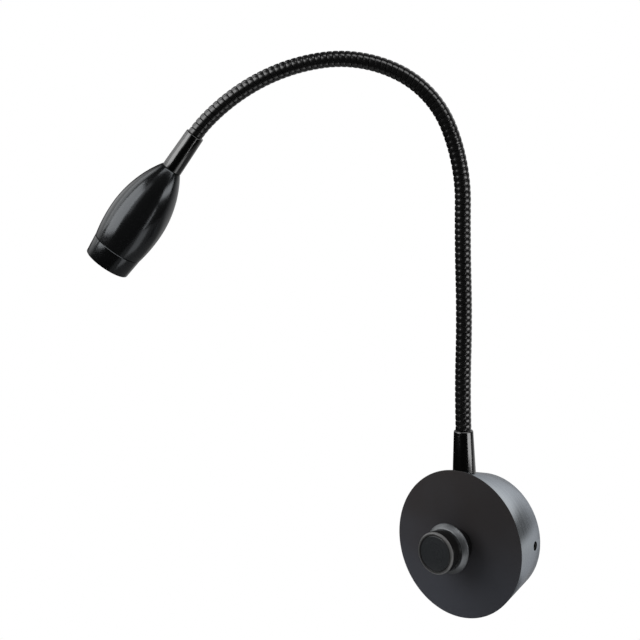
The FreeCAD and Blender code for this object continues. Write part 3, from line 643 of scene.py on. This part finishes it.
# %% [markdown]
# ## Head
# The head is an olive: two arcs that meet where it is widest, cut off at the light end. The front ring
# pushes into the shell, and a fine chamfer on both sides of the seam makes the dark line between them.

# %% Head shell
head_offset = 0.3
head_start = arm_end + head_axis * sleeve_length + head_axis.cross(arm_side) * head_offset
neck, widest, widest_at, seam, seam_radius = 5.45, 15.5, 34.0, 51.2, 13.7


def arc_radius(run, rise):
    return (run ** 2 + rise ** 2) / (2 * rise)


back_arc = arc_radius(widest_at, widest - neck)
front_arc = arc_radius(seam - widest_at, widest - seam_radius)
back_angle = math.degrees(math.asin(widest_at / back_arc))
front_angle = math.degrees(math.asin((seam - widest_at) / front_arc))
olive = Outline(0, 0).to((neck, 0)).arc(widest - back_arc, widest_at, back_angle, 36)
olive.arc(widest - front_arc, widest_at, front_angle, 18)
inside, inside_end, back_inside, back_wall = 11.8, 21, 7.2, 7
olive.to((seam_radius - 0.3, seam + 0.15), (inside, seam + 0.15), (inside, inside_end),
         (back_inside, back_wall), (0, back_wall))
olive = olive.turn(160)
soften(olive, 0.4, 3, (neck, 0))
shell = piece("head_olive", olive, place(head_start, head_axis))
dress(shell, head_finish, "satin_black", "head", "head_shell")

# %% Front ring
head_length, mouth, ring_low = 62.0, 12.6, seam + 0.3
taper = (seam_radius - mouth) / (head_length - seam)
spigot_inside, spigot, spigot_end, lip, opening, lip_back = (
    11, 11.7, ring_low - 5, 11.3, 9.7, head_length - 2.3)
ring = Outline(spigot_inside, spigot_end).to(
    (spigot, spigot_end), (spigot, ring_low), (seam_radius - 0.3, ring_low),
    (seam_radius - taper * 0.6, seam + 0.6), (mouth, head_length), (lip, head_length),
    (opening, head_length - 2), (opening, lip_back), (spigot_inside, lip_back)).close().turn(160)
soften(ring, 0.35, 3, (mouth, head_length))
soften(ring, 0.2, 2, (lip, head_length))
bezel = piece("head_front_ring", ring, place(head_start, head_axis))
dress(bezel, bezel_finish, "satin_black", "head", "bezel")

# %% [markdown]
# ## Studio
# Black gloss is drawn by what it mirrors. The photograph shows a broad soft stripe on the left of the
# head, a narrow one on its right, and black between. So a wide lamp stands at the left with a dim one
# beside it, one stands behind at the left, one above, a slim one at the right and two slim ones low
# down, of which the front one is close to the reading lamp, because further off the floor would hide
# it. To the camera and through glass the backdrop is white. In mirrors it is white behind the reading
# lamp, towards the right and the upper left, and dark low down, in a band at the right and towards the
# camera. The floor is pale, is dimmed in mirrors, keeps the shadow, and can be looked through from
# below, so that it hides nothing in views from there.

# %% Soft lamps
centre = Vector((-0.05, -0.06, 0.13))


def softbox(name, first, last, width, radiance, distance=1.5):
    """A long lamp between two directions, each given as (right, up, back) of the camera, facing centre."""
    first, last = ((right * x + up * y + back * z).normalized() * distance for x, y, z in (first, last))
    lamp = bpy.data.objects.new(name, bpy.data.lights.new(name, "AREA"))
    lamp.data.shape, lamp.data.size, lamp.data.size_y = "RECTANGLE", width, (last - first).length
    lamp.data.energy = radiance * math.pi * lamp.data.size * lamp.data.size_y
    away = (first + last).normalized()
    tall = (last - first).normalized()
    across = tall.cross(away)
    middle = centre + (first + last) / 2
    lamp.matrix_world = Matrix((across, tall, away)).transposed().to_4x4()
    lamp.location = middle
    bpy.context.scene.collection.objects.link(lamp)
    print(name, "gives", round(lamp.data.energy, 1), "W")


softbox("lamp_left", (-0.95, 0.04, 0.30), (-0.58, 0.66, 0.46), 1.0, 4.2)
softbox("lamp_side", (-0.97, 0.25, -0.10), (-0.48, 0.86, -0.15), 0.5, 1.9)
softbox("lamp_left_soft", (-0.68, 0.12, 0.72), (-0.34, 0.62, 0.70), 0.4, 0.9)
softbox("lamp_over", (0.84, 0.26, 0.48), (-0.25, 0.85, 0.46), 0.45, 3.0)
softbox("lamp_right", (0.68, -0.11, 0.72), (0.98, -0.09, 0.12), 0.34, 4.5)
softbox("lamp_low_back", (0.62, -0.36, 0.70), (0.36, -0.72, 0.60), 0.12, 3.5)
softbox("lamp_low_front", (0.36, -0.77, 0.60), (0.09, -0.98, 0.18), 0.15, 1.2, 0.36)

# %% World and floor
world = bpy.data.worlds.new("studio")
bpy.context.scene.world = world
world.use_nodes = True
room = Finish("studio", world.node_tree)
direction = room.node("ShaderNodeTexCoord", output="Generated")


def facing(way):
    """How far a ray's direction points along the given one, from -1 to 1."""
    return room.node("ShaderNodeVectorMath", {"operation": "DOT_PRODUCT"}, {0: direction, 1: tuple(way)},
                     output="Value")


behind = facing(-back)
seen = room.node("ShaderNodeLightPath", output="Is Camera Ray")
mirrored = room.node("ShaderNodeLightPath", output="Is Glossy Ray")
through = room.node("ShaderNodeLightPath", output="Is Transmission Ray")
height = room.node("ShaderNodeSeparateXYZ", {}, {0: direction}, output="Z")
beside = facing(right)
dark_band = height.rise(-0.20, -0.04) * (1 - height.rise(0.12, 0.28)) * beside.rise(0.35, 0.75)
low_down = 1 - height.rise(-0.30, 0.0)
above_ground = height.rise(-0.72, -0.50)
right_side, upper_left = beside.rise(-0.3, 0.7), (1 - beside.rise(-0.6, -0.3)) * height.rise(0.0, 0.25)
brightest, band_loss, low_loss, darkest, diffuse_light = 1.25, 1.08, 0.55, 0.01, 0.40
fading = brightest - dark_band * band_loss - low_down * low_loss
backdrop = behind.rise(-0.1, 0.6) * (right_side + upper_left) * above_ground * fading + darkest
strength = seen + through + mirrored * backdrop + (1 - seen) * (1 - through) * (1 - mirrored) * diffuse_light
sky = room.node("ShaderNodeBackground", {}, {"Color": (1, 1, 1, 1), "Strength": strength})
room.node("ShaderNodeOutputWorld", {}, {"Surface": sky})

pale = Finish("pale_floor")
shown = pale.node("ShaderNodeLightPath", output="Is Camera Ray")
plain = pale.node("ShaderNodeBsdfDiffuse", {}, {"Color": (0.9, 0.9, 0.9, 1)})
glow_strength, glow_share, dim_share, floor_size, floor_height = 1.14, 0.86, 0.8, 380, -230
glow = pale.node("ShaderNodeEmission", {}, {"Strength": glow_strength})
mixed = pale.node("ShaderNodeMixShader", {}, {0: shown * glow_share, 1: plain, 2: glow})
dim = pale.node("ShaderNodeBsdfDiffuse", {}, {"Color": (0.03, 0.03, 0.03, 1)})
glossy = pale.node("ShaderNodeLightPath", output="Is Glossy Ray")
toned = pale.node("ShaderNodeMixShader", {}, {0: glossy * dim_share, 1: mixed, 2: dim})
from_below = pale.node("ShaderNodeNewGeometry", output="Backfacing")
clear = pale.node("ShaderNodeBsdfTransparent")
one_sided = pale.node("ShaderNodeMixShader", {}, {0: from_below, 1: toned, 2: clear})
pale.node("ShaderNodeOutputMaterial", {}, {"Surface": one_sided})
ground = bmesh.new()
bmesh.ops.create_grid(ground, x_segments=1, y_segments=1, size=floor_size)
floor = piece("floor", ground, place((0, 0, floor_height)))
floor.data.materials.append(pale.material)
